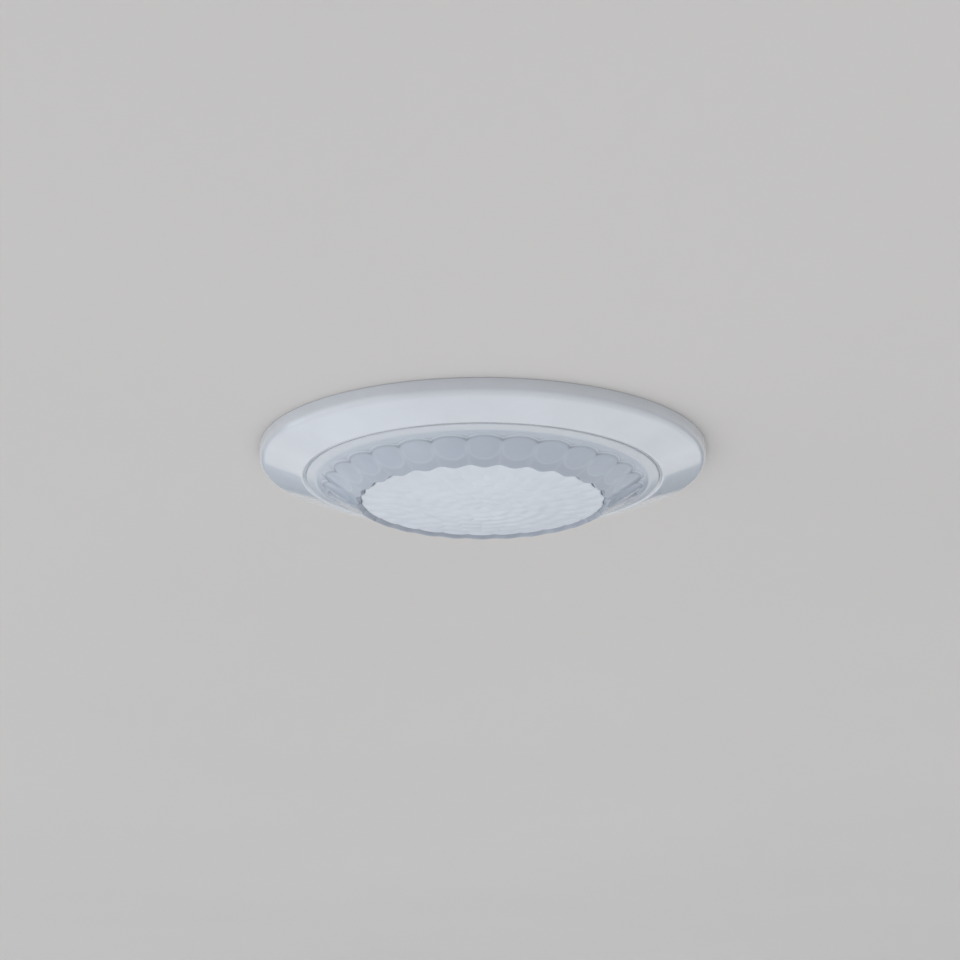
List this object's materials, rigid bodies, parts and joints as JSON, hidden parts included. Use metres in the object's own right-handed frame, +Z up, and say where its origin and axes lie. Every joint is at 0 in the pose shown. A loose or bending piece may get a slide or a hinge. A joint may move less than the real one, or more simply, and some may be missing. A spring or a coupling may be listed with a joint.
{
  "type": "motion sensor",
  "caption": "Round flush ceiling motion sensor: white bezel, ring of lenslets round a ripple-faceted disc, and a housing with two sprung arms above.",
  "frame": {"origin": "centre of the ceiling cut-out, on the ceiling's lower face where the bezel rests", "axes": "+Z up into the ceiling void, -Z down into the room, +X towards the right arm, +Y towards the terminal cover's hinge"},
  "size_m": [0.1, 0.1, 0.0557],
  "materials": {
    "bezel_plastic": "semi-gloss white moulding",
    "lens_plastic": "translucent frosted white, smooth outside and moulded inside",
    "housing_plastic": "fine spark-eroded texture",
    "baffle_plastic": "matt ivory white",
    "circuit_board": "satin solder mask",
    "arm_steel": "zinc-plated sheet",
    "spring_steel": "drawn wire",
    "pin_steel": "turned",
    "can_nickel": "nickel-plated",
    "silicon_window": "polished dark filter",
    "guide_acrylic": "clear",
    "status_red": "tinted clear red",
    "dial_orange": "satin",
    "potentiometer_blue": "satin",
    "button_grey": "satin",
    "black_plastic": "fine texture",
    "header_gold": "gold-flashed",
    "film_yellow": "moulded box",
    "electrolytic_sleeve": "blue shrink sleeve",
    "choke_copper": "enamelled wire",
    "varistor_red": "dipped",
    "fuse_brown": "moulded",
    "terminal_white": "satin",
    "screw_zinc": "zinc-plated"
  },
  "bodies": {
    "housing": {"chassis": "housing_plastic", "rear_housing": "housing_plastic", "cover_hinge_pin": "pin_steel", "arm_pin_left": "pin_steel", "arm_pin_right": "pin_steel", "torsion_spring_left": "spring_steel", "torsion_spring_right": "spring_steel", "baffle_plate": "baffle_plastic", "sensor_board": "circuit_board", "pir_sensor_can": "can_nickel", "pir_sensor_window": "silicon_window", "light_sensor": "black_plastic", "light_guide": "guide_acrylic", "status_light": "status_red", "time_potentiometer": "potentiometer_blue", "brightness_potentiometer": "potentiometer_blue", "range_potentiometer": "potentiometer_blue", "test_switch": "black_plastic", "board_header": "header_gold", "board_socket": "black_plastic", "power_board": "circuit_board", "board_screw_1": "screw_zinc", "board_screw_2": "screw_zinc", "relay": "black_plastic", "film_capacitor": "film_yellow", "electrolytic_capacitor": "electrolytic_sleeve", "choke": "choke_copper", "varistor": "varistor_red", "fuse": "fuse_brown", "terminal_block": "terminal_white", "terminal_screw_1": "screw_zinc", "terminal_screw_2": "screw_zinc", "terminal_screw_3": "screw_zinc", "terminal_screw_4": "screw_zinc"},
    "trim_ring": {"trim_ring": "bezel_plastic"},
    "lens": {"fresnel_lens": "lens_plastic"},
    "arm_left": {"spring_arm_left": "arm_steel"},
    "arm_right": {"spring_arm_right": "arm_steel"},
    "cover": {"terminal_cover": "housing_plastic"},
    "time_dial": {"time_dial": "dial_orange"},
    "brightness_dial": {"brightness_dial": "dial_orange"},
    "range_dial": {"range_dial": "dial_orange"},
    "test_button": {"test_button": "button_grey"}
  },
  "joints": [
    {"name": "trim_ring_pull", "type": "slide", "parent": "housing", "child": "trim_ring", "axis": [0, 0, -1], "range_m": [0, 0.025]},
    {"name": "lens_pull", "type": "slide", "parent": "housing", "child": "lens", "axis": [0, 0, -1], "range_m": [0, 0.02]},
    {"name": "arm_right_fold", "type": "hinge", "parent": "housing", "child": "arm_right", "pos_m": [0.0313, 0, 0.017], "axis": [0, -1, 0], "range_deg": [0, 127], "stiffness_Nm_per_rad": 0.06, "springref_deg": -34.38, "deforming": ["torsion_spring_right"]},
    {"name": "arm_left_fold", "type": "hinge", "parent": "housing", "child": "arm_left", "pos_m": [-0.0313, 0, 0.017], "axis": [0, 1, 0], "range_deg": [0, 127], "stiffness_Nm_per_rad": 0.06, "springref_deg": -34.38, "deforming": ["torsion_spring_left"]},
    {"name": "cover_hinge", "type": "hinge", "parent": "housing", "child": "cover", "pos_m": [0, 0.0132, 0.0322], "axis": [-1, 0, 0], "range_deg": [0, 100]},
    {"name": "time_turn", "type": "hinge", "parent": "housing", "child": "time_dial", "pos_m": [-0.01559, -0.009, -0.0046], "axis": [0, 0, 1], "range_deg": [-135, 135]},
    {"name": "brightness_turn", "type": "hinge", "parent": "housing", "child": "brightness_dial", "pos_m": [0, -0.018, -0.0046], "axis": [0, 0, 1], "range_deg": [-135, 135]},
    {"name": "range_turn", "type": "hinge", "parent": "housing", "child": "range_dial", "pos_m": [0.01559, -0.009, -0.0046], "axis": [0, 0, 1], "range_deg": [-135, 135]},
    {"name": "test_button_press", "type": "slide", "parent": "housing", "child": "test_button", "axis": [0, 0, 1], "range_m": [0, 0.0004], "stiffness_N_per_m": 1500}
  ]
}
